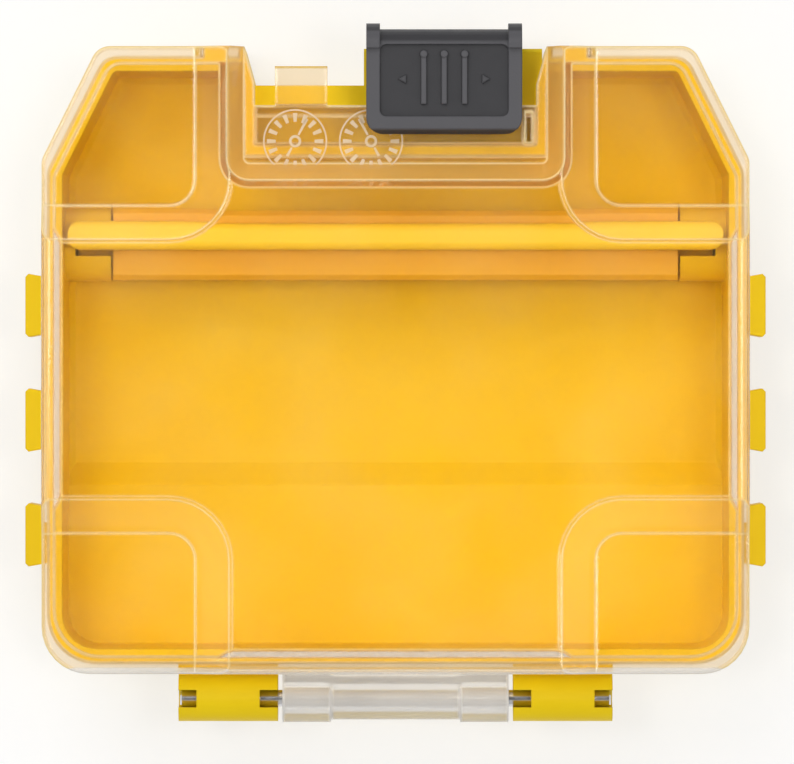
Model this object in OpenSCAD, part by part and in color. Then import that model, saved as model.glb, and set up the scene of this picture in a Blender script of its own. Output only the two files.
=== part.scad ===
// Small bit case: an opaque base tray, a clear hinged lid, a sliding latch and a bit bar that swings up.
// Millimetres. The closed case lies on its base: Z is up, the latch is at +Y and the hinge at -Y.
// The origin is the centre of the base's bottom face.

/* [Case] */
// Width over the lid's rim
case_width = 109; // [100:0.5:150]
// Depth over the lid's rim, without hinge and latch
case_depth = 96.7; // [90:0.1:140]
// Height of the base, up to its rim
base_height = 22; // [20:0.5:32]
// Height of the lid above the base's rim
lid_height = 11.5; // [10.5:0.5:16]
// Width of the cut across each front corner
chamfer_x = 8.7; // [4:0.1:12]
// Length of the cut across each front corner
chamfer_y = 17.5; // [10:0.1:20]
// Rounding at both ends of that cut
chamfer_round = 3; // [1.5:0.1:4]
// Corner radius at the hinge side
hinge_corner_r = 7.3; // [4:0.1:10]

/* [Walls] */
// Side wall of the base
base_wall = 1.9; // [1.5:0.1:2.4]
// Floor of the base
base_floor = 1.8; // [1.4:0.1:2.6]
// Rounding around the bottom of the base
foot_round = 2; // [1:0.1:3]
// How far the lid's rim stands out beyond the base at both sides
overhang_side = 1; // [0.8:0.1:1.4]
// How far it stands out at the front and at the hinge
overhang_end = 1.7; // [1.2:0.1:2]
// Side wall of the lid
lid_wall_side = 1.8; // [1.5:0.1:2.4]
// Front and hinge wall of the lid
lid_wall_end = 2.5; // [2.2:0.1:3]
// Thickness of the lid's top
lid_skin = 1.8; // [1.4:0.1:2.2]
// Rounding around the top of the lid
lid_round = 1.2; // [0.5:0.1:1.6]
// Depth of the lid's skirt, which hangs outside the base's rim
skirt_drop = 2; // [1:0.1:2.4]

/* [Lid relief] */
// Distance from a side to the low corner fields of the lid
field_side = 23.6; // [18:0.1:26]
// Length of the two low fields at the latch side
field_front = 24.5; // [20:0.1:28]
// Length of the two low fields at the hinge side
field_back = 21.6; // [16:0.1:30]
// How far the corner fields lie below the lid's top
field_drop = 3.2; // [1.5:0.1:4]
// Width of the slope around a corner field
field_slope = 5.3; // [3:0.1:5.6]
// Corner radius of a corner field
field_round = 4; // [2:0.1:6]

/* [Latch recess] */
// Width of the notch in the front of the case
notch_width = 43.4; // [40:0.1:50]
// Depth of that notch
notch_depth = 15.05; // [14:0.05:17]
// How much wider the notch is at its mouth, each side
notch_flare = 1.6; // [0.5:0.1:2]
// Wall around the notch
notch_wall = 1.8; // [1.5:0.1:2.4]
// Height of the clear shelf that the latch slides on, above the rim
shelf_height = 6.4; // [6:0.1:7.5]
// Distance from the front to the edge of that shelf
shelf_setback = 9.05; // [8:0.05:9.5]
// Distance from the front to the line where the recess leaves the lid's top
ridge_setback = 20.55; // [19:0.05:23]
// Slope of the recess's sides, as a width
recess_slope = 2.4; // [1:0.1:3]
// Depth of the lip that hangs from the shelf's edge
lip_drop = 1.6; // [1:0.1:1.8]

/* [Latch] */
// Width of the latch
latch_width = 24; // [20:0.5:27]
// Room between the locked latch and the end of the recess
latch_end_room = 2.2; // [1.8:0.1:3]
// Distance from the front of the case back to the latch's inner edge
latch_reach = 13.55; // [12.5:0.05:14.5]
// How far the latch stands out in front of the case
latch_proud = 2.65; // [2.4:0.05:4]
// Thickness of the latch's top plate
latch_plate = 2.7; // [2:0.1:3.4]
// Thickness of the latch's front wall
latch_front = 2; // [1.5:0.1:2.2]
// Rounding between top and front of the latch
latch_round = 3; // [1:0.1:4]
// Depth of the dish in the top plate
latch_dish = 0.7; // [0.3:0.1:1]
// Width of the raised border at each end of the latch
latch_border = 2.1; // [1.5:0.1:3]
// Number of grip ribs
grip_count = 3; // [1:1:5]
// Distance between the grip ribs
grip_pitch = 3.15; // [2.5:0.05:3.5]
// Width of the hook under the base's catch
hook_width = 13; // [8:0.5:13.5]
// Thickness of the hook
hook_thick = 2.3; // [1.5:0.1:3]
// Thickness of the catch on the base
catch_thick = 3.2; // [2:0.1:4]
// Distance from the front to the plain part of the ledge
ledge_setback = 5.85; // [5.5:0.05:6.5]
// Width of the ledge's top
ledge_top = 3.4; // [2.4:0.1:3.8]

/* [Hinge] */
// Distance from the back of the case to the hinge axis
hinge_offset = 4.05; // [3.9:0.05:6]
// How far the axis lies below the base's rim
hinge_drop = 2.5; // [2.2:0.1:4]
// Radius of the base's knuckles
knuckle_r = 3.55; // [2.6:0.05:3.7]
// Radius of the lid's barrel
barrel_r = 3.7; // [2.8:0.05:3.8]
// Length of the lid's barrel
barrel_length = 35; // [20:0.5:60]
// Length of each knuckle
knuckle_length = 15.4; // [12:0.1:18]
// Room between barrel and knuckle
knuckle_gap = 0.7; // [0.3:0.1:1.5]
// Radius of the hinge pin
pin_r = 1.3; // [0.9:0.05:1.5]
// Length of the window at each end of a knuckle, where the pin shows
window_length = 2.8; // [1.5:0.1:4]

/* [Side tabs] */
// Number of dovetail tabs on each side
tab_count = 3; // [1:1:3]
// Distance between the tabs
tab_pitch = 17.8; // [14:0.1:22]
// Place of the middle tab along the depth
tab_middle_y = -9.3; // [-14:0.1:-6]
// Width of a tab at its outer edge
tab_width = 9.8; // [6:0.1:12]
// Width of a tab at its root
tab_root = 8.2; // [5:0.1:9]
// How far a tab reaches from the lid's rim
tab_reach = 2.9; // [2:0.1:5]
// Height of a tab
tab_height = 13; // [6:0.5:14]

/* [Bit bar] */
// Width of a bit cell
cell_width = 6.6; // [5:0.1:7]
// Wall between two cells
cell_wall = 1.6; // [1.2:0.1:2.4]
// Wall at each end of the row of cells, at least
bar_end_wall = 1.8; // [1.2:0.1:3]
// Depth of a bit cell
cell_depth = 8.2; // [6:0.1:8.6]
// Height of a bit cell
cell_height = 6.6; // [5:0.1:7]
// Wall above and below the cells
bar_skin = 1.5; // [1.2:0.1:1.6]
// Depth of the bar, from front to back
bar_depth = 10.8; // [10.4:0.1:11]
// Place of the bar's pivot along the depth
pivot_y = 17.86; // [14:0.05:18.5]
// Height of the bar's pivot
pivot_z = 10.3; // [9.8:0.1:12]
// Radius of the trunnions
trunnion_r = 2; // [1.5:0.1:2.4]
// Width of the ridge along the bar
ridge_width = 4.1; // [3:0.1:4.4]
// Height of the ridge's top above the pivot
ridge_top = 10.8; // [9:0.1:11]
// How far the ridge lies behind the pivot
ridge_offset = 1.3; // [0:0.1:1.5]
// Radius of the round bearing blocks
block_r = 5.5; // [4:0.1:5.6]
// Length of the bearing blocks
block_length = 7.4; // [5:0.1:9]
// Height of the raised floor at the hinge side
raised_floor = 2.4; // [1:0.1:3]
// Place of the raised floor's edge
raised_edge_y = -19.5; // [-26:0.5:-16]
// Width of the slope up to the raised floor
raised_slope = 3.5; // [2:0.1:6]

/* [Hidden] */

$fn = 64;
arc_steps = 8; // straight steps in a rounded corner of the shells
round_steps = 3; // straight steps in a rounded edge of the shells
gap = 0.3; // between pieces that face each other and move
slide_gap = 0.15; // between the lid's skirt and the base
run_gap = 0.06; // radial, where something turns on a pin
pin_gap = 0.03; // radial, where the pin is held
grip_gap = 0.05; // around the grip strip in its channel
over = 1; // how far a cut runs past what it cuts
root = 0.5; // how far a small feature reaches into the wall that carries it
draft = 0.5; // how much the base narrows towards its bottom, each side

half_w = case_width / 2;
half_d = case_depth / 2;
rim_z = base_height;
lid_z = rim_z + gap;
top_z = rim_z + lid_height;
base_w = case_width - 2 * overhang_side;
base_d = case_depth - 2 * overhang_end;

field_z = top_z - field_drop;
shelf_z = rim_z + shelf_height;
shelf_under = shelf_z - lid_skin;
recess_drop = top_z - shelf_z;

notch_x = notch_width / 2;
notch_y = half_d - notch_depth;
shelf_y = half_d - shelf_setback;
ledge_y = half_d - ledge_setback;
trough_y = ledge_y - ledge_top;
ridge_y = half_d - ridge_setback;
catch_y = half_d - slide_gap;
post_width = 6.1; // the short thick stretches of base wall beside the notch

latch_x1 = notch_x - latch_end_room;
latch_x0 = latch_x1 - latch_width;
latch_y0 = half_d - latch_reach;
latch_y1 = half_d + latch_proud;
latch_z0 = shelf_z + gap;
latch_z1 = latch_z0 + latch_plate;
latch_travel = latch_x0 + notch_x - gap;
catch_lead = 0.4; // how far the catch starts before the latch
catch_x0 = latch_x0 - catch_lead;
catch_z = rim_z - catch_thick;
hook_x0 = latch_x0 + over;

hinge_y = -half_d - hinge_offset;
hinge_z = rim_z - hinge_drop;
knuckle_x0 = barrel_length / 2 + knuckle_gap;
pin_recess = 0.2; // how far each end of the pin lies inside its knuckle
pin_length = 2 * (knuckle_x0 + knuckle_length - pin_recess);

base_inner_x = base_w / 2 - base_wall;
block_x0 = base_inner_x - block_length;
bar_half = block_x0 - gap;
bar_height = cell_height + 2 * bar_skin;
bar_sag = 0.3; // how far the bar's middle lies below its pivot
bar_bottom = -bar_height / 2 - bar_sag;
trunnion_x1 = block_x0 + block_length - base_wall - gap;
ridge_room = 0.8; // between the ridge's ends and the side walls
ridge_half = base_inner_x - ridge_room;
cell_pitch = cell_width + cell_wall;
cell_count = floor((2 * (bar_half - bar_end_wall) - cell_wall) / cell_pitch);
strip_half = (cell_count * cell_pitch + cell_wall) / 2;
strip_back = 0.9; // thickness of the strip's back

// ---- outlines and lofts ----

function unit(v) = v / norm(v);
function after(i, n) = (i + 1) % n;
function before(i, n) = (i + n - 1) % n;
function inward(p, q) = let(u = unit(q - p)) [-u[1], u[0]];

// Moves each edge of an outline inwards by d; the outline runs anticlockwise
function inset(v, d) = [
    for (i = [0 : len(v) - 1])
        let(
            n1 = inward(v[before(i, len(v))], v[i]),
            n2 = inward(v[i], v[after(i, len(v))])
        )
        v[i] + d * (n1 + n2) / (1 + n1 * n2)
];

// The arc that rounds corner q between its neighbours p and s
function corner_arc(p, q, s, r) =
    let(
        u = unit(p - q),
        v = unit(s - q),
        half = acos(u * v) / 2,
        centre = q + unit(u + v) * r / sin(half),
        start = q + u * r / tan(half) - centre,
        first = atan2(start[1], start[0]),
        turn = 180 - 2 * half
    )
    [for (i = [0 : arc_steps]) let(a = first + turn * i / arc_steps) centre + r * [cos(a), sin(a)]];

function rounded(v, radii) = [
    for (i = [0 : len(v) - 1])
        each corner_arc(v[before(i, len(v))], v[i], v[after(i, len(v))], radii[i])
];

function case_corners(w, d) = [
    [w / 2, -d / 2],
    [w / 2, d / 2 - chamfer_y],
    [w / 2 - chamfer_x, d / 2],
    [-w / 2 + chamfer_x, d / 2],
    [-w / 2, d / 2 - chamfer_y],
    [-w / 2, -d / 2]
];
case_radii = [hinge_corner_r, chamfer_round, chamfer_round, chamfer_round, chamfer_round, hinge_corner_r];

least_radius = 0.4;

// The case's outline at w by d, moved inwards by d_in
function case_outline(w, d, d_in) =
    rounded(inset(case_corners(w, d), d_in), [for (r = case_radii) max(r - d_in, least_radius)]);

function box_corners(x0, y0, x1, y1) = [[x0, y0], [x1, y0], [x1, y1], [x0, y1]];
function box_outline(x0, y0, x1, y1, r, grow) =
    rounded(inset(box_corners(x0, y0, x1, y1), -grow), [for (i = [0 : 3]) r + grow]);

// A solid through layers [z, outline] with equally many points each
module loft(layers) {
    n = len(layers[0][1]);
    last = len(layers) - 1;
    points = [for (layer = layers) for (p = layer[1]) [p[0], p[1], layer[0]]];
    bottom = [for (i = [0 : n - 1]) i];
    top = [for (i = [n - 1 : -1 : 0]) last * n + i];
    sides = [
        for (k = [0 : last - 1])
            for (i = [0 : n - 1])
                [k * n + i, (k + 1) * n + i, (k + 1) * n + after(i, n), k * n + after(i, n)]
    ];
    polyhedron(points, concat([bottom, top], sides));
}

// ---- base ----

module base_outside() {
    rounding = [
        for (i = [0 : round_steps])
            let(a = 90 * i / round_steps)
            [foot_round * (1 - cos(a)), case_outline(base_w, base_d, draft + foot_round * (1 - sin(a)))]
    ];
    loft(concat(rounding, [[rim_z, case_outline(base_w, base_d, 0)]]));
}

// Extrudes a (Y, Z) section along X from x0 to x1
module along_x(x0, x1) {
    translate([x0, 0, 0]) rotate([90, 0, 90]) linear_extrude(x1 - x0) children();
}

// The notch in the front, seen from above: side and back are its half width and its back line
module notch_plan(side, back) {
    far = half_d + 6;
    polygon([
        [-side, back], [side, back], [side, ledge_y], [side + notch_flare, half_d], [side + notch_flare, far],
        [-side - notch_flare, far], [-side - notch_flare, half_d], [-side, ledge_y]
    ]);
}

module both_sides() {
    children();
    mirror([1, 0, 0]) children();
}

// The raised floor at the hinge side, which lets short bits be picked up
module floor_step() {
    back = -half_d;
    along_x(-half_w, half_w)
        polygon([
            [back, 0], [raised_edge_y + raised_slope + base_floor, 0],
            [raised_edge_y + raised_slope, base_floor], [raised_edge_y, base_floor + raised_floor],
            [back, base_floor + raised_floor]
        ]);
}

module base_cavity() {
    difference() {
        loft([
            [base_floor, case_outline(base_w, base_d, base_wall + draft + over)],
            [base_floor + over, case_outline(base_w, base_d, base_wall + draft)],
            [rim_z + over, case_outline(base_w, base_d, base_wall)]
        ]);
        linear_extrude(rim_z + 2 * over) notch_plan(notch_x + notch_wall, notch_y - notch_wall);
        floor_step();
    }
}

// The hollow under the raised floor keeps the walls even
module underside_hollow() {
    margin = 5;
    x = base_w / 2 - margin;
    y0 = -base_d / 2 + margin;
    y1 = raised_edge_y - base_floor;
    translate([0, 0, -over])
        linear_extrude(raised_floor + over)
            polygon(box_outline(-x, y0, x, y1, foot_round, 0));
}

// Room in front of the ledge, and the trough behind it that a fingertip and the latch's tongue have room in
module base_front_cuts() {
    translate([0, 0, -over]) linear_extrude(rim_z + 2 * over) notch_plan(notch_x, ledge_y);
    translate([-notch_x, notch_y, base_floor]) cube([notch_width, trough_y - notch_y, rim_z]);
}

// The ledge reaches forwards here, and the latch's hook holds on under it
module catch() {
    bevel = 0.5;
    along_x(catch_x0, notch_x + over)
        polygon([
            [ledge_y - over, catch_z - over], [ledge_y, catch_z - over], [ledge_y + over, catch_z],
            [catch_y, catch_z], [catch_y, rim_z - bevel], [catch_y - bevel, rim_z], [ledge_y - over, rim_z]
        ]);
}

// Short stretch of thicker wall at each side of the notch; the notch is cut out of it afterwards
module notch_post() {
    y0 = base_d / 2 - over;
    translate([notch_x, y0, foot_round]) cube([post_width, catch_y - y0, rim_z - foot_round]);
}

module side_tabs() {
    x0 = base_w / 2 - over;
    x1 = half_w + tab_reach;
    corner = 0.5;
    top = rim_z - skirt_drop - over;
    for (i = [0 : tab_count - 1])
        translate([0, tab_middle_y + (i - (tab_count - 1) / 2) * tab_pitch, top - tab_height])
            linear_extrude(tab_height)
                polygon([
                    [x0, -tab_root / 2], [x1 - corner, -tab_width / 2], [x1, -tab_width / 2 + corner],
                    [x1, tab_width / 2 - corner], [x1 - corner, tab_width / 2], [x0, tab_root / 2]
                ]);
}

// A knuckle is open above at its ends and below between them, so that it moulds without a side core
module knuckle() {
    x1 = knuckle_x0 + knuckle_length;
    wall_y = -base_d / 2 + over;
    half_slot = pin_r + pin_gap;
    foot_drop = 3;
    foot_z = hinge_z - knuckle_r - foot_drop;
    difference() {
        along_x(knuckle_x0, x1) {
            translate([hinge_y, hinge_z]) circle(knuckle_r);
            polygon([
                [hinge_y, hinge_z], [hinge_y, hinge_z - knuckle_r],
                [wall_y, foot_z], [wall_y, hinge_z]
            ]);
        }
        along_x(knuckle_x0 - over, x1 + over) translate([hinge_y, hinge_z]) circle(half_slot);
        for (x = [knuckle_x0 - over, x1 - window_length])
            translate([x, hinge_y - half_slot, hinge_z])
                cube([window_length + over, 2 * half_slot, knuckle_r + over]);
        translate([knuckle_x0 + window_length, hinge_y - half_slot, foot_z - over])
            cube([knuckle_length - 2 * window_length, 2 * half_slot, hinge_z - foot_z + over]);
    }
}

// Half-round block on a side wall that carries one trunnion of the bit bar; it snaps in through the slot
module bearing_block() {
    bearing_depth = block_length - base_wall;
    snap = 0.7;
    slot = 2 * trunnion_r - snap;
    difference() {
        along_x(block_x0, base_inner_x + over) {
            translate([pivot_y, pivot_z]) circle(block_r);
            translate([pivot_y - block_r, base_floor - root])
                square([2 * block_r, pivot_z - base_floor + root]);
        }
        along_x(block_x0 - over, block_x0 + bearing_depth) {
            translate([pivot_y, pivot_z]) circle(trunnion_r + run_gap);
            translate([pivot_y - slot / 2, pivot_z]) square([slot, block_r + over]);
        }
    }
}

module base_shell() {
    color("gold")
        union() {
            difference() {
                union() {
                    base_outside();
                    both_sides() notch_post();
                }
                base_cavity();
                base_front_cuts();
                underside_hollow();
            }
            catch();
            both_sides() {
                side_tabs();
                knuckle();
                bearing_block();
            }
        }
}

// ---- lid ----

module lid_outside() {
    rounding = [
        for (i = [0 : round_steps])
            let(a = 90 * i / round_steps)
            [top_z - lid_round * (1 - sin(a)), case_outline(case_width, case_depth, lid_round * (1 - cos(a)))]
    ];
    loft(concat([[rim_z - skirt_drop, case_outline(case_width, case_depth, 0)]], rounding));
}

// A sunk field with sloping sides, over the box x0..x1 by y0..y1 at height z0.
// With skin above 0 it is the same field on the inner face of a wall that thick.
module sunk_field(x0, y0, x1, y1, r, z0, drop, slope, skin) {
    lean = atan(drop / slope);
    grow = skin * tan(lean / 2);
    z_low = z0 - skin;
    z_high = z0 + drop + over;
    loft([
        [z_low, box_outline(x0, y0, x1, y1, r, grow)],
        [z_high, box_outline(x0, y0, x1, y1, r, grow + slope * (z_high - z_low) / drop)]
    ]);
}

module lid_relief(skin) {
    x0 = half_w - field_side;
    beyond = 10;
    both_sides() {
        sunk_field(
            x0, half_d - field_front, half_w + beyond, half_d + beyond,
            field_round, field_z, field_drop, field_slope, skin
        );
        sunk_field(
            x0, -half_d - beyond, half_w + beyond, -half_d + field_back,
            field_round, field_z, field_drop, field_slope, skin
        );
    }
    recess_x = notch_x + notch_wall;
    sunk_field(
        -recess_x, ridge_y + recess_slope, recess_x, half_d + beyond,
        over, shelf_z, recess_drop, recess_slope, skin
    );
}

module lid_cavity() {
    w = case_width - 2 * lid_wall_side;
    d = case_depth - 2 * lid_wall_end;
    z1 = top_z - lid_skin;
    difference() {
        loft([
            [rim_z - skirt_drop - over, case_outline(w, d, 0)],
            [z1 - lid_round, case_outline(w, d, 0)],
            [z1, case_outline(w, d, lid_round)]
        ]);
        lid_relief(lid_skin);
        linear_extrude(top_z) notch_plan(notch_x + notch_wall, notch_y - notch_wall);
    }
}

// The clear finger at the edge of the shelf that the open latch clicks over
module detent_finger() {
    x0 = -18.6;
    width = 8.1;
    reach = 6;
    translate([x0, shelf_y - over, shelf_under]) cube([width, reach + over, lid_skin]);
}

module lid_front_cuts() {
    z0 = rim_z - skirt_drop - over;
    translate([0, 0, z0]) linear_extrude(shelf_under - z0) notch_plan(notch_x, notch_y);
    difference() {
        translate([0, 0, z0]) linear_extrude(top_z - z0) notch_plan(notch_x, shelf_y);
        detent_finger();
    }
    post_x = notch_x + post_width + gap;
    translate([-post_x, base_d / 2 - over, z0]) cube([2 * post_x, half_d, lid_z - z0]);
}

// Lip under the shelf's edge that the latch's tongue hooks over, and the stop for the locked latch
module latch_rail() {
    stop_width = 1.4;
    translate([-notch_x - over, shelf_y - lip_drop, shelf_under - lip_drop])
        cube([notch_width + 2 * over, lip_drop, lip_drop + root]);
    translate([latch_x1 + gap, notch_y, shelf_z - root])
        cube([stop_width, shelf_y - notch_y - over, latch_plate]);
}

module lid_barrel() {
    half = barrel_length / 2;
    waist = 10;
    waist_depth = 0.4;
    web_z = hinge_z + root;
    difference() {
        union() {
            along_x(-half, half) translate([hinge_y, hinge_z]) circle(barrel_r - waist_depth);
            both_sides() along_x(waist, half) translate([hinge_y, hinge_z]) circle(barrel_r);
            along_x(-half, half)
                translate([hinge_y, web_z])
                    square([hinge_offset + over, barrel_r - over]);
        }
        along_x(-half - over, half + over) translate([hinge_y, hinge_z]) circle(pin_r + run_gap);
    }
}

module lid_shell() {
    color([0.97, 0.93, 0.84, 0.45])
        union() {
            difference() {
                lid_outside();
                lid_relief(0);
                lid_front_cuts();
                loft([
                    [rim_z - skirt_drop - over, case_outline(base_w, base_d, -slide_gap)],
                    [lid_z, case_outline(base_w, base_d, -slide_gap)]
                ]);
                lid_cavity();
            }
            latch_rail();
            lid_barrel();
        }
}

// ---- latch ----

tongue_thick = 1.8;
tongue_lip = 1.6;
tongue_z1 = shelf_under - lip_drop - gap;
tongue_z0 = tongue_z1 - tongue_thick;
tongue_y1 = shelf_y - lip_drop - gap;
tongue_y0 = tongue_y1 - tongue_lip;
hook_z1 = catch_z - gap;
hook_z0 = hook_z1 - hook_thick;
inner_y = latch_y1 - latch_front;
latch_mid = (latch_x0 + latch_x1) / 2;

function quarter(y, z, r) = [
    for (i = [0 : arc_steps]) let(a = 90 * i / arc_steps) [y + r * cos(a), z + r * sin(a)]
];

// Top plate, front wall and the tongue that reaches back under the shelf
module latch_section() {
    edge = 0.8;
    polygon(concat(
        [[latch_y0, latch_z0], [inner_y, latch_z0], [inner_y, tongue_z1], [tongue_y1, tongue_z1]],
        [[tongue_y1, shelf_under - gap], [tongue_y0, shelf_under - gap], [tongue_y0, tongue_z0]],
        [[inner_y, tongue_z0], [inner_y, hook_z0], [latch_y1 - edge, hook_z0], [latch_y1, hook_z0 + edge]],
        quarter(latch_y1 - latch_round, latch_z1 - latch_round, latch_round),
        [[latch_y0 + edge, latch_z1], [latch_y0, latch_z1 - edge]]
    ));
}

module latch_hook() {
    lead = 0.8;
    hook_room = 1.5;
    y0 = ledge_y + hook_room;
    y1 = inner_y + root;
    along_x(hook_x0, hook_x0 + hook_width)
        polygon([[y0, hook_z0 + lead], [y0 + lead, hook_z0], [y1, hook_z0], [y1, hook_z1], [y0, hook_z1]]);
}

// Raised corner at each end of the rounded front edge, which stops a thumb from slipping off
module latch_ear(x0) {
    ear = 0.9;
    y = latch_y1 - latch_round;
    z = latch_z1 - latch_round;
    tail = 6;
    along_x(x0, x0 + latch_border)
        polygon(concat(
            [[y, z], [inner_y + root, z - tail], [latch_y1, z - tail], [latch_y1 + ear, z - tail + ear]],
            quarter(y, z, latch_round + ear)
        ));
}

module latch_grips() {
    grip_length = 7.7;
    grip_width = 0.8;
    grip_setback = 11.6;
    knob_r = 0.56;
    knob_height = 0.15;
    mark_r = 0.8;
    mark_height = 0.5;
    mark_room = 3.1;
    sunk = 0.2;
    y0 = latch_y1 - grip_setback;
    z0 = latch_z1 - latch_dish;
    for (i = [0 : grip_count - 1])
        translate([latch_mid + (i - (grip_count - 1) / 2) * grip_pitch, y0, z0 - sunk]) {
            translate([-grip_width / 2, 0, 0]) cube([grip_width, grip_length, latch_dish + sunk]);
            translate([0, grip_length, 0]) cylinder(h = latch_dish + knob_height + sunk, r = knob_r);
        }
    mark_x = (grip_count - 1) / 2 * grip_pitch + mark_room;
    mark_y = y0 + grip_length / 2;
    for (side = [-1, 1])
        translate([latch_mid + side * mark_x, mark_y, z0 - sunk])
            rotate([0, 0, side > 0 ? 0 : 180])
                cylinder(h = mark_height + sunk, r = mark_r, $fn = 3);
}

module latch_dish_cut() {
    front_band = 2.4;
    back_band = 2.7;
    translate([0, 0, latch_z1 - latch_dish])
        linear_extrude(latch_dish + over)
            polygon(box_outline(
                latch_x0 + latch_border, latch_y0 + back_band,
                latch_x1 - latch_border, latch_y1 - front_band, over, 0
            ));
}

module latch_slider() {
    corner = 2.6;
    beyond = 5;
    color([0.26, 0.26, 0.28])
        union() {
            difference() {
                intersection() {
                    along_x(latch_x0, latch_x1) latch_section();
                    linear_extrude(top_z + over)
                        polygon(box_outline(latch_x0, latch_y0, latch_x1, latch_y1 + beyond, corner, 0));
                }
                latch_dish_cut();
            }
            latch_hook();
            latch_ear(latch_x0);
            latch_ear(latch_x1 - latch_border);
            latch_grips();
        }
}

// ---- hinge pin ----

module hinge_pin() {
    bevel = 0.3;
    half = pin_length / 2;
    color("silver")
        translate([0, hinge_y, hinge_z])
            rotate([0, 90, 0])
                rotate_extrude()
                    polygon([
                        [0, -half], [pin_r - bevel, -half], [pin_r, -half + bevel],
                        [pin_r, half - bevel], [pin_r - bevel, half], [0, half]
                    ]);
}

// ---- bit bar, drawn around its pivot ----

bar_top = bar_bottom + bar_height;
channel_z0 = bar_bottom + bar_skin;
strip_setback = 0.2;
strip_y0 = -bar_depth / 2 + strip_setback;
strip_y1 = strip_y0 + cell_depth + strip_back;

module at_pivot() {
    translate([0, pivot_y, pivot_z]) children();
}

module bar_ridge() {
    top_r = 1.3;
    y0 = ridge_offset - ridge_width / 2;
    y1 = ridge_offset + ridge_width / 2;
    z0 = block_r + gap;
    end_r = ridge_width / 2;
    intersection() {
        along_x(-ridge_half, ridge_half)
            polygon(concat(
                [[y0, z0], [y1, z0]],
                quarter(y1 - top_r, ridge_top - top_r, top_r),
                [for (p = quarter(0, 0, top_r)) [y0 + top_r - p[1], ridge_top - top_r + p[0]]]
            ));
        linear_extrude(ridge_top + over)
            translate([0, ridge_offset]) {
                square([2 * (ridge_half - end_r), ridge_width], center = true);
                for (x = [-1, 1]) translate([x * (ridge_half - end_r), 0]) circle(end_r);
            }
    }
    translate([-bar_half, y0, bar_top - root]) cube([2 * bar_half, ridge_width, z0 - bar_top + over]);
}

module bit_bar() {
    bevel = 0.8;
    half = bar_depth / 2;
    color([1, 0.82, 0.2])
        at_pivot()
            union() {
                difference() {
                    along_x(-bar_half, bar_half)
                        polygon([
                            [-half, bar_bottom + bevel], [-half + bevel, bar_bottom],
                            [half - bevel, bar_bottom],
                            [half, bar_bottom + bevel], [half, bar_top - bevel], [half - bevel, bar_top],
                            [-half + bevel, bar_top], [-half, bar_top - bevel]
                        ]);
                    translate([-strip_half - grip_gap, -half - over, channel_z0])
                        cube([2 * (strip_half + grip_gap), half + over + strip_y1 + grip_gap, cell_height]);
                }
                bar_ridge();
                both_sides() along_x(bar_half - over, trunnion_x1) circle(trunnion_r);
            }
}

// Comb of fins that grips the bits' shanks, pressed into the bar's channel
module bit_grip_strip() {
    height = cell_height - 2 * grip_gap;
    color([0.2, 0.2, 0.22])
        at_pivot()
            translate([0, 0, channel_z0 + grip_gap])
                linear_extrude(height)
                    difference() {
                        translate([-strip_half, strip_y0]) square([2 * strip_half, strip_y1 - strip_y0]);
                        for (i = [0 : cell_count - 1])
                            translate([-strip_half + cell_wall + i * cell_pitch, strip_y0 - over])
                                square([cell_width, cell_depth + over]);
                    }
}

base_shell();
lid_shell();
latch_slider();
hinge_pin();
bit_bar();
bit_grip_strip();
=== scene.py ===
import math

import bmesh
import bpy
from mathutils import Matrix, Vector


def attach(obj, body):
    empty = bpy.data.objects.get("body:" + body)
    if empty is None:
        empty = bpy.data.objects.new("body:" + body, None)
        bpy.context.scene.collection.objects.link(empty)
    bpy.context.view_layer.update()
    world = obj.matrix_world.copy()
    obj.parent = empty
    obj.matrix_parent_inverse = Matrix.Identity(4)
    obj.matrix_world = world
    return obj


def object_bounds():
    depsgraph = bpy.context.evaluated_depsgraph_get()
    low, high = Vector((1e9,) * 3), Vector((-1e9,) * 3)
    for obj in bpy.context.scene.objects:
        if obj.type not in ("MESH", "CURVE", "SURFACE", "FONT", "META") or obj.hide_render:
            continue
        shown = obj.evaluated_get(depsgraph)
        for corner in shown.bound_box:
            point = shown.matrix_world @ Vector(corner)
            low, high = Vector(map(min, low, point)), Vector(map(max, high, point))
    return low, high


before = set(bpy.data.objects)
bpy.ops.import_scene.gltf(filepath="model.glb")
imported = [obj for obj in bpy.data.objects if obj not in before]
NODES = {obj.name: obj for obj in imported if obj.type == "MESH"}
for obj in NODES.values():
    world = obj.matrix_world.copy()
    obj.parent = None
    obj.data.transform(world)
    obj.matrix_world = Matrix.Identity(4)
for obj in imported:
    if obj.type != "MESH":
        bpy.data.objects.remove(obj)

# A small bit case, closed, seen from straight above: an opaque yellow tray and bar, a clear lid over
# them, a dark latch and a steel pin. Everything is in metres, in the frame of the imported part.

MM = 0.001
CAD_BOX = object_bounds()

# ---- the photograph's frame ----
IMAGE_W = 794
IMAGE_H = 764
PIXEL = 0.154 * MM  # size of one pixel at the height of the lid
CENTRE_PX = (395.5, 360.0)  # where the middle of the base lies in the photograph
VIEW_Z = 30 * MM  # the height at which that scale holds
CAMERA_DISTANCE = 1.6
CAMERA_REACH = 20
SENSOR_MM = 36.0  # the camera takes its sensor and its lens in millimetres

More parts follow.
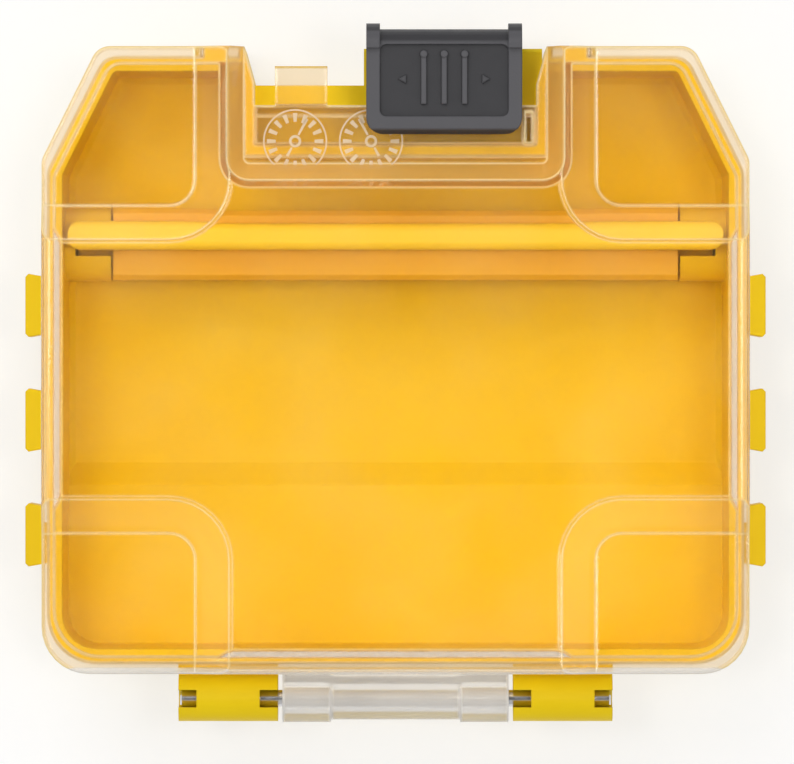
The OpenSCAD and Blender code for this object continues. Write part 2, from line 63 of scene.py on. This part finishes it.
# ---- places on the part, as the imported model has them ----
SHELF_Z = 28.4 * MM  # the top of the lid's shelf, where the latch slides
SHELF_BAND = 0.04 * MM  # less than the distance to the next face of the lid, 0.1 mm above
SHELF_EDGE_Y = 39.45 * MM  # just in front of the shelf's edge
NOTCH_X = 21.4 * MM  # half the width of the notch in which the lid's finger lies
RECESS_X = 26.5 * MM  # half the width of the latch's recess over its walls
RECESS_Y = 24.0 * MM  # where the recess starts
BARREL_Y = -47.5 * MM  # the lid's barrel lies behind this line; in front of it the lid carries the painted orange bounce light of the tray
LATCH_BORDER_Z = 31.2 * MM  # between the latch's dish and its border; above it the border is painted lighter, as a painted highlight
BAR_BODY_Z = 15.1 * MM  # between the top of the bar's body and its ridge; the bar is painted lighter above it and darker below it
LIT_BLEND = 0.15 * MM  # the painted lighter colour fades in over this much on either side of such a height

# ---- colours: the deep and the pale tone between which a surface wanders ----
YELLOW = ((0.85, 0.59, 0.004), (0.89, 0.64, 0.005))
# painted shade: the bar's body is the tray's yellow made darker and more orange, as shade deep in the
# tray
BAR_YELLOW_SHADED = ((0.80, 0.45, 0.012), (0.84, 0.50, 0.016))
LATCH_GREY = ((0.024, 0.0235, 0.027), (0.032, 0.031, 0.035))
GRIP_BLACK = ((0.025, 0.025, 0.026), (0.035, 0.035, 0.037))
# painted light: the lid's orange tint over the tray is painted bounce light from the yellow tray
LID_CLEAR_PAINTED_BOUNCE = ((0.975, 0.845, 0.66), (0.98, 0.865, 0.70))
# painted highlight: the pale lines along the lid's edges
LID_EDGE_HIGHLIGHT = ((1.0, 0.76, 0.34), (1.0, 0.81, 0.43))
# painted shade: the tray's orange on the lid's walls
LID_WALLS_PAINTED_SHADE = ((0.95, 0.54, 0.12), (0.97, 0.60, 0.16))
BARREL_CLEAR = ((0.96, 0.95, 0.935), (0.98, 0.97, 0.955))
BARREL_FROST = ((0.80, 0.78, 0.75), (0.88, 0.86, 0.83))
ETCHED = ((0.93, 0.72, 0.44), (0.98, 0.80, 0.55))
STEEL = ((0.62, 0.62, 0.63), (0.74, 0.74, 0.75))
PAPER = ((0.90, 0.90, 0.90), (0.92, 0.92, 0.92))

# ---- single colours ----
# painted light: the bar's ridge, nearest the lid, is painted lighter than its body
BAR_RIDGE_LIT = (0.97, 0.72, 0.035)
# painted highlight: the latch's border, lighter than its dark dish
LATCH_BORDER_HIGHLIGHT = (0.082, 0.080, 0.088)
LAMP_THROUGH_LID = (0.97, 0.94, 0.88, 1)

# ---- how much of the clear lid is drawn pale and diffuse: 0 is clear, 1 is fully diffuse. Its haze is frosting; its edge lines are painted highlights and its walls a painted orange shade ----
LINE_WIDTH = 0.75 * MM  # width of the painted pale highlight lines along the lid's edges
LINE_START = 0.996  # cosine of the angle between the rounded and the true normal where a line starts
LINE_FULL = 0.978  # the same cosine where it is full
LINE_STRENGTH = 0.85
LINE_FADE_BELOW = (-0.1, 0.1)  # lines fade over this range of the normal's height, towards the underside
FINGER_FADE = 0.92  # the share of the lines that the finger does without
STEEP = 0.8  # a face whose normal is less high than this counts as a wall
# the share of painted orange shade on the lid's walls
WALL_PAINTED_SHADE = 0.14
RECESS_WALL_PAINTED_SHADE = 0.4  # more of that painted shade on the walls about the recess
HAZE = (0.004, 0.04)  # everywhere
SHELF_HAZE = 0.05  # more of it on the shelf
BARREL_HAZE = 0.35  # and on the barrel
LID_ROUGHNESS = (0.03, 0.08)
SHELF_ROUGHNESS = 0.12  # added to it on the shelf

NOISE_RANGE = (0.3, 0.7)  # most of a noise texture's values lie between these
ROUGH_SPREAD = 0.05  # how far an opaque plastic's roughness wanders to either side


# ---- materials ----
class Shader:
    """One material under construction. add() makes a node: a socket given for an input is linked to it,
    and a value is set. The other calls make one kind of node each and return its result."""

    def __init__(self, name):
        self.material = bpy.data.materials.new(name)
        self.material.use_nodes = True
        self.tree = self.material.node_tree
        self.tree.nodes.clear()
        self.where = self.add("ShaderNodeTexCoord").outputs["Object"]

    def add(self, kind, inputs=None, **settings):
        node = self.tree.nodes.new(kind)
        for key, value in settings.items():
            setattr(node, key, value)
        for key, value in (inputs or {}).items():
            if isinstance(value, bpy.types.NodeSocket):
                self.tree.links.new(value, node.inputs[key])
            else:
                node.inputs[key].default_value = value
        return node

    def noise(self, size, detail, stretch=None):
        """Noise with features about size metres wide; stretch scales the axes one by one."""
        where = self.where
        if stretch:
            where = self.add("ShaderNodeMapping", {"Vector": where, "Scale": stretch}).outputs[0]
        inputs = {"Vector": where, "Scale": 1 / size, "Detail": detail}
        return self.add("ShaderNodeTexNoise", inputs).outputs[0]

    def tint(self, noise, deep, pale):
        """A colour that follows the noise from deep to pale."""
        node = self.add("ShaderNodeValToRGB", {"Fac": noise})
        for stop, place, colour in zip(node.color_ramp.elements, NOISE_RANGE, (deep, pale)):
            stop.position = place
            stop.color = (*colour, 1)
        return node.outputs[0]

    def remap(self, value, from_range, to_range, curve="LINEAR"):
        return self.add("ShaderNodeMapRange", {
            "Value": value,
            "From Min": from_range[0], "From Max": from_range[1],
            "To Min": to_range[0], "To Max": to_range[1],
        }, interpolation_type=curve).outputs[0]

    def maths(self, operation, *values):
        return self.add("ShaderNodeMath", dict(enumerate(values)), operation=operation).outputs[0]

    def mix(self, factor, a, b):
        """The colour a where the factor is 0, and b where it is 1."""
        inputs = {"Factor": factor, "A": a, "B": b}
        return self.add("ShaderNodeMix", inputs, data_type="RGBA").outputs["Result"]

    def bump(self, height, distance, strength, normal=None):
        inputs = {"Height": height, "Distance": distance, "Strength": strength}
        if normal:
            inputs["Normal"] = normal
        return self.add("ShaderNodeBump", inputs).outputs[0]

    def bevel(self, radius, samples=6):
        return self.add("ShaderNodeBevel", {"Radius": radius}, samples=samples).outputs[0]

    def principled(self, inputs):
        return self.add("ShaderNodeBsdfPrincipled", inputs).outputs[0]

    def mix_shaders(self, factor, a, b):
        return self.add("ShaderNodeMixShader", {0: factor, 1: a, 2: b}).outputs[0]

    def output(self, shader):
        self.add("ShaderNodeOutputMaterial", {"Surface": shader})
        return self.material


def moulded_plastic(name, colours, edge, rough, grain, gloss=0.5, lit_above=None):
    """Opaque moulded plastic: cloudy tint, fine spark-eroded grain, edges rounded by edge metres. The
    last
    argument gives a height and a colour: what stands above that height has the colour, as painted light."""
    s = Shader(name)
    colour = s.tint(s.noise(size=24 * MM, detail=3), *colours)
    # painted light: a lighter colour on what stands above a height
    if lit_above:
        height, lit_colour = lit_above
        z = s.add("ShaderNodeSeparateXYZ", {0: s.where}).outputs["Z"]
        above = s.remap(z, (height - LIT_BLEND, height + LIT_BLEND), (0.0, 1.0), "SMOOTHSTEP")
        colour = s.mix(above, colour, (*lit_colour, 1))
    fine = s.noise(size=0.35 * MM, detail=3)
    soft = s.noise(size=3 * MM, detail=2)
    return s.output(s.principled({
        "Base Color": colour,
        "Roughness": s.remap(soft, NOISE_RANGE, (rough - ROUGH_SPREAD, rough + ROUGH_SPREAD)),
        "Normal": s.bump(fine, distance=0.05 * MM, strength=grain, normal=s.bevel(edge)),
        "IOR": 1.49,
        "Specular IOR Level": gloss,
    }))


def lid_zones(s):
    """Masks that are 1 on one part of the lid and 0 elsewhere."""
    place = s.add("ShaderNodeSeparateXYZ", {0: s.where})
    across = s.maths("ABSOLUTE", place.outputs["X"])
    depth = place.outputs["Y"]
    past_shelf = s.maths("GREATER_THAN", depth, SHELF_EDGE_Y)
    past_recess_start = s.maths("GREATER_THAN", depth, RECESS_Y)
    return {
        "shelf": s.maths("COMPARE", place.outputs["Z"], SHELF_Z, SHELF_BAND),
        "barrel": s.maths("LESS_THAN", depth, BARREL_Y),
        "finger": s.maths("MULTIPLY", past_shelf, s.maths("LESS_THAN", across, NOTCH_X)),
        "recess": s.maths("MULTIPLY", s.maths("LESS_THAN", across, RECESS_X), past_recess_start),
    }


def lid_glass(s, smear, rounded, zones):
    """The lid's plastic where it is clear, with the faint ripple of a moulded sheet. Over the tray its
    tint is a painted orange bounce light from the tray; over the barrel it is nearly neutral.
    """
    ripple = s.noise(size=6 * MM, detail=2)
    fine = s.noise(size=0.5 * MM, detail=2)
    normal = s.bump(fine, distance=0.005 * MM, strength=0.3, normal=rounded)
    rough = s.remap(smear, NOISE_RANGE, LID_ROUGHNESS)
    return s.principled({
        "Base Color": s.mix(zones["barrel"], s.tint(smear, *LID_CLEAR_PAINTED_BOUNCE), s.tint(smear, *BARREL_CLEAR)),
        "Roughness": s.maths("MULTIPLY_ADD", zones["shelf"], SHELF_ROUGHNESS, rough),
        "Normal": s.bump(ripple, distance=0.02 * MM, strength=0.3, normal=normal),
        "IOR": 1.47,
        "Transmission Weight": 1.0,
    })


def lid_frost_and_painted_light(s, smear, rounded, steep, zones):
    """The lid's plastic where it is drawn pale and diffuse: its haze, and painted light. Edge lines are
    a painted pale highlight, walls a painted orange shade of the tray, and the barrel, with no yellow
    behind it, is nearly neutral."""
    warm = s.mix(steep, s.tint(smear, *LID_EDGE_HIGHLIGHT), s.tint(smear, *LID_WALLS_PAINTED_SHADE))
    colour = s.mix(zones["barrel"], warm, s.tint(smear, *BARREL_FROST))
    return s.principled({"Base Color": colour, "Roughness": 0.5, "Normal": rounded})


def lid_painted_highlights(s, rounded, true_normal, upright, zones):
    """How much of a painted pale highlight line there is: most at an edge, where the rounded normal
    isn't the true one.
    """
    agree = s.add("ShaderNodeVectorMath", {0: rounded, 1: true_normal}, operation="DOT_PRODUCT")
    edge = s.remap(agree.outputs["Value"], (LINE_START, LINE_FULL), (0.0, LINE_STRENGTH), "SMOOTHSTEP")
    outer = s.remap(upright, LINE_FADE_BELOW, (0.0, 1.0))
    faint = s.maths("MULTIPLY_ADD", zones["finger"], -FINGER_FADE, 1.0)
    return s.maths("MULTIPLY", s.maths("MULTIPLY", edge, outer), faint)


def clear_plastic(name):
    """Clear moulded plastic. Painted pale highlights along its edges show the contours of the relief,
    its walls carry a painted orange shade of the tray, and the shelf that the latch slides on is
    slightly frosted. The lamps shine through it."""
    s = Shader(name)
    smear = s.noise(size=18 * MM, detail=3)
    rounded = s.bevel(LINE_WIDTH, samples=8)
    true_normal = s.add("ShaderNodeNewGeometry").outputs["True Normal"]
    upright = s.add("ShaderNodeSeparateXYZ", {0: true_normal}).outputs["Z"]
    steep = s.maths("LESS_THAN", s.maths("ABSOLUTE", upright), STEEP)
    zones = lid_zones(s)
    lines = lid_painted_highlights(s, rounded, true_normal, upright, zones)
    haze = s.maths("MULTIPLY_ADD", zones["barrel"], BARREL_HAZE, s.remap(smear, NOISE_RANGE, HAZE))
    haze = s.maths("MULTIPLY_ADD", zones["shelf"], SHELF_HAZE, haze)
    # painted shade on the walls, in the tray's orange
    wall = s.maths("MULTIPLY_ADD", zones["recess"], RECESS_WALL_PAINTED_SHADE, WALL_PAINTED_SHADE)
    wall = s.maths("MULTIPLY", steep, wall)
    # the haze is frosting; the edge lines and the walls are painted light
    haze_and_painted_light = s.maths("MAXIMUM", s.maths("MAXIMUM", lines, haze), wall)
    glass = lid_glass(s, smear, rounded, zones)
    frost_and_painted_light = lid_frost_and_painted_light(s, smear, rounded, steep, zones)
    lamp_ray = s.add("ShaderNodeLightPath").outputs["Is Shadow Ray"]
    let_through = s.add("ShaderNodeBsdfTransparent", {"Color": LAMP_THROUGH_LID}).outputs[0]
    return s.output(s.mix_shaders(lamp_ray, s.mix_shaders(haze_and_painted_light, glass, frost_and_painted_light), let_through))


def etched_plastic(name):
    """The same clear plastic with an etched face, for the marks moulded into it."""
    s = Shader(name)
    grain = s.noise(size=0.25 * MM, detail=2)
    cloud = s.noise(size=2 * MM, detail=2)
    return s.output(s.principled({
        "Base Color": s.tint(cloud, *ETCHED),
        "Roughness": s.remap(cloud, NOISE_RANGE, (0.3, 0.45)),
        "Normal": s.bump(grain, distance=0.03 * MM, strength=0.4),
        "IOR": 1.47,
        "Transmission Weight": 0.15,
        "Alpha": 0.9,
    }))


def steel(name):
    """Drawn and polished steel wire: fine lines along its length."""
    s = Shader(name)
    drawn = s.noise(size=0.12 * MM, detail=2, stretch=(0.03, 1, 1))
    spots = s.noise(size=4 * MM, detail=3)
    return s.output(s.principled({
        "Base Color": s.tint(spots, *STEEL),
        "Metallic": 1.0,
        "Roughness": s.remap(spots, NOISE_RANGE, (0.14, 0.24)),
        "Normal": s.bump(drawn, distance=0.02 * MM, strength=0.3),
    }))


yellow = moulded_plastic("yellow_plastic", YELLOW, edge=0.35 * MM, rough=0.42, grain=0.25, gloss=0.15)
bar_lit_and_shaded = moulded_plastic("bar_plastic_lit_and_shaded", BAR_YELLOW_SHADED, edge=0.35 * MM, rough=0.35, grain=0.15,
                             gloss=0.3, lit_above=(BAR_BODY_Z, BAR_RIDGE_LIT))
dark = moulded_plastic("latch_plastic", LATCH_GREY, edge=0.35 * MM, rough=0.42, grain=0.5,
                       gloss=0.4, lit_above=(LATCH_BORDER_Z, LATCH_BORDER_HIGHLIGHT))
rubber = moulded_plastic("grip_rubber", GRIP_BLACK, edge=0.2 * MM, rough=0.7, grain=0.6)
clear = clear_plastic("clear_plastic")
etched = etched_plastic("etched_plastic")
wire = steel("steel_wire")

for node, material in {
    "base_shell": yellow,
    "bit_bar": bar_lit_and_shaded,
    "latch_slider": dark,
    "bit_grip_strip": rubber,
    "lid_shell": clear,
    "hinge_pin": wire,
}.items():
    mesh = NODES[node].data
    mesh.materials.clear()
    mesh.materials.append(material)


# ---- meshes: a place is a Vector of X and Y, and heights are given apart ----
def from_pixel(px, py):
    """The X and Y that a pixel of the photograph shows."""
    return Vector(((px - CENTRE_PX[0]) * PIXEL, (CENTRE_PX[1] - py) * PIXEL))


def slab(bm, outline, z0, z1):
    """A flat plate over an outline of (x, y) points."""
    low = [bm.verts.new((x, y, z0)) for x, y in outline]
    high = [bm.verts.new((x, y, z1)) for x, y in outline]
    bm.faces.new(low[::-1])
    bm.faces.new(high)
    for i in range(len(outline)):
        j = (i + 1) % len(outline)
        bm.faces.new((low[i], low[j], high[j], high[i]))


def ring(bm, centre, r0, r1, z0, z1, steps):
    """A flat ring, made of one closed band of faces."""
    profile = ((r0, z0), (r1, z0), (r1, z1), (r0, z1))
    rows = []
    for i in range(steps):
        turn = math.radians(360 * i / steps)
        x, y = math.cos(turn), math.sin(turn)
        rows.append([bm.verts.new((centre.x + r * x, centre.y + r * y, z)) for r, z in profile])
    for i in range(steps):
        here, there = rows[i], rows[(i + 1) % steps]
        for k in range(len(profile)):
            m = (k + 1) % len(profile)
            bm.faces.new((here[k], there[k], there[m], here[m]))


def spoke(bm, centre, r0, r1, width, degrees, z0, z1):
    """A bar along a radius, a little narrower at its inner end."""
    turn = math.radians(degrees)
    along = Vector((math.cos(turn), math.sin(turn)))
    side = Vector((-along.y, along.x)) * width / 2
    inner = centre + along * r0
    outer = centre + along * r1
    narrow = side * SPOKE_TAPER
    slab(bm, (inner - narrow, outer - side, outer + side, inner + narrow), z0, z1)


def linked(name, data):
    """A new object in the scene."""
    thing = bpy.data.objects.new(name, data)
    bpy.context.scene.collection.objects.link(thing)
    return thing


def finished(name, bm, material):
    """An object made of the bmesh."""
    bmesh.ops.recalc_face_normals(bm, faces=bm.faces)
    mesh = bpy.data.meshes.new(name)
    bm.to_mesh(mesh)
    bm.free()
    mesh.materials.append(material)
    return linked(name, mesh)


# ---- the moulding dials on the lid's shelf: generic rings with ticks and a pointer ----
DIALS = (  # side, the pixel at its middle, the way its pointer points in degrees
    ("left", (295, 141), 62),
    ("right", (371, 141), 118),
)
DIAL_R = 4.95 * MM
DIAL_RING = 0.25 * MM
DIAL_STEPS = 72
DIAL_HEIGHT = 0.14 * MM
DIAL_ROOT = 0.03 * MM  # how far it reaches into the shelf
HUB_R = (0.55 * MM, 0.95 * MM)
HUB_STEPS = 24
TICKS = 16
TICK_R = (3.0 * MM, 4.35 * MM)
TICK_WIDTH = 0.68 * MM
POINTER_R = (1.1 * MM, 3.9 * MM)
POINTER_TAIL_R = (1.1 * MM, 2.6 * MM)
POINTER_WIDTH = 0.45 * MM
SPOKE_TAPER = 0.7  # a spoke's width at its inner end, as a share of that at its outer end


def mould_dial(name, centre, pointer):
    """An outer ring, a hub, ticks between them, and a pointer with a shorter tail."""
    z = (SHELF_Z - DIAL_ROOT, SHELF_Z + DIAL_HEIGHT)
    bm = bmesh.new()
    ring(bm, centre, DIAL_R - DIAL_RING, DIAL_R, *z, DIAL_STEPS)
    ring(bm, centre, *HUB_R, *z, HUB_STEPS)
    for i in range(TICKS):
        spoke(bm, centre, *TICK_R, TICK_WIDTH, 90 + 360 * i / TICKS, *z)
    spoke(bm, centre, *POINTER_R, POINTER_WIDTH, pointer, *z)
    spoke(bm, centre, *POINTER_TAIL_R, POINTER_WIDTH, pointer + 180, *z)
    dial = finished(name, bm, etched)
    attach(dial, "lid")


for side, pixel, pointer in DIALS:
    mould_dial("mould_dial_" + side, from_pixel(*pixel), pointer)

# ---- the floor of the trough behind the ledge, which shows through the lid's shelf ----
TROUGH_X = 21.66 * MM  # half its length
TROUGH_Y = (33.34 * MM, 39.06 * MM)
TROUGH_Z = 14.5 * MM
TROUGH_WALL = 1.8 * MM
TROUGH_FILLET = 1.2 * MM
FILLET_STEPS = 8


def trough_floor():
    """A thin floor whose long edges curve up into the walls."""
    y0, y1 = TROUGH_Y
    curve = []
    for i in range(FILLET_STEPS + 1):
        turn = math.pi / 2 * i / FILLET_STEPS
        curve.append((TROUGH_FILLET * (1 - math.sin(turn)), TROUGH_FILLET * (1 - math.cos(turn))))
    near = [(y0 + inward, TROUGH_Z + rise) for inward, rise in reversed(curve)]
    far = [(y1 - inward, TROUGH_Z + rise) for inward, rise in curve]
    profile = near + far + [(y1, TROUGH_Z - TROUGH_WALL), (y0, TROUGH_Z - TROUGH_WALL)]
    bm = bmesh.new()
    left = [bm.verts.new((-TROUGH_X, y, z)) for y, z in profile]
    right = [bm.verts.new((TROUGH_X, y, z)) for y, z in profile]
    bm.faces.new(left)
    bm.faces.new(right[::-1])
    for i in range(len(profile)):
        j = (i + 1) % len(profile)
        bm.faces.new((left[i], right[i], right[j], left[j]))
    piece = finished("trough_floor", bm, yellow)
    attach(piece, "base")


trough_floor()

# ---- studio ----
FLOOR_SIZE = 6.0
FLOOR_GAP = 0.1 * MM  # between the floor and the case's foot
FLOOR_GLOW = 1.12
FLOOR_GLOW_SHARE = 0.55
WORLD_STRENGTH = 0.64
CARD_EDGE = (0.90, 0.975)  # height of a direction where the dark card starts, and where it is full
CARD_GREY = 0.06
LAMP_TARGET = (0, 0, 0.02)  # inside the case, in metres as the lamps' places and sizes are
SIDE_BOX_SIZE = (0.3, 0.3)
SIDE_BOX_POWER = 3.15


def floor_paper(name):
    """White paper. It partly glows where it is seen directly, mirrored or through the lid, so that it
    stays white there."""
    s = Shader(name)
    colour = s.tint(s.noise(size=2 * MM, detail=3), *PAPER)
    paper = s.add("ShaderNodeBsdfDiffuse", {"Color": colour}).outputs[0]
    glow = s.add("ShaderNodeEmission", {"Color": (1, 1, 1, 1), "Strength": FLOOR_GLOW}).outputs[0]
    path = s.add("ShaderNodeLightPath")
    seen = s.maths("MAXIMUM", path.outputs["Is Camera Ray"], path.outputs["Is Glossy Ray"])
    seen = s.maths("MAXIMUM", seen, path.outputs["Is Transmission Ray"])
    return s.output(s.mix_shaders(s.maths("MULTIPLY", seen, FLOOR_GLOW_SHARE), paper, glow))


def level_square(name, size, z):
    """A level square of size metres about the origin."""
    half = size / 2
    mesh = bpy.data.meshes.new(name)
    corners = [(-half, -half, z), (half, -half, z), (half, half, z), (-half, half, z)]
    mesh.from_pydata(corners, [], [(0, 1, 2, 3)])
    return linked(name, mesh)


floor = level_square("floor", FLOOR_SIZE, CAD_BOX[0].z - FLOOR_GAP)
floor.data.materials.append(floor_paper("floor_paper"))


def studio_world():
    """Bright all round, with a dark card about the camera, so that flat tops don't reflect a veil."""
    world = bpy.data.worlds.new("studio")
    world.use_nodes = True
    tree = world.node_tree
    where = tree.nodes.new("ShaderNodeTexCoord").outputs["Generated"]
    split = tree.nodes.new("ShaderNodeSeparateXYZ")
    ramp = tree.nodes.new("ShaderNodeValToRGB")
    tree.links.new(where, split.inputs[0])
    tree.links.new(split.outputs["Z"], ramp.inputs["Fac"])
    for stop, place, grey in zip(ramp.color_ramp.elements, CARD_EDGE, (1, CARD_GREY)):
        stop.position = place
        stop.color = (grey, grey, grey, 1)
    background = tree.nodes["Background"]
    tree.links.new(ramp.outputs[0], background.inputs["Color"])
    background.inputs["Strength"].default_value = WORLD_STRENGTH
    bpy.context.scene.world = world


def softbox(name, place, size, power):
    """A rectangular lamp that looks at the case."""
    lamp = bpy.data.lights.new(name, "AREA")
    lamp.shape = "RECTANGLE"
    lamp.size, lamp.size_y = size
    lamp.energy = power
    box = linked(name, lamp)
    box.location = place
    box.rotation_euler = (Vector(LAMP_TARGET) - Vector(place)).to_track_quat("-Z", "Y").to_euler()


studio_world()
softbox("softbox_front", place=(-0.25, 0.55, 0.75), size=(0.5, 0.35), power=1.6)
softbox("softbox_left", place=(-0.42, 0.12, 1.5), size=SIDE_BOX_SIZE, power=SIDE_BOX_POWER)
softbox("softbox_right", place=(0.42, 0.02, 1.5), size=SIDE_BOX_SIZE, power=SIDE_BOX_POWER)

camera_data = bpy.data.cameras.new("camera")
camera = linked("camera", camera_data)
camera.location = (*from_pixel(IMAGE_W / 2, IMAGE_H / 2), VIEW_Z + CAMERA_DISTANCE)
camera.rotation_euler = (0, 0, 0)
camera_data.sensor_fit = "HORIZONTAL"
camera_data.sensor_width = SENSOR_MM
camera_data.lens = SENSOR_MM * CAMERA_DISTANCE / (IMAGE_W * PIXEL)
camera_data.clip_end = CAMERA_REACH
bpy.context.scene.camera = camera

bpy.context.scene.view_settings.view_transform = "Standard"
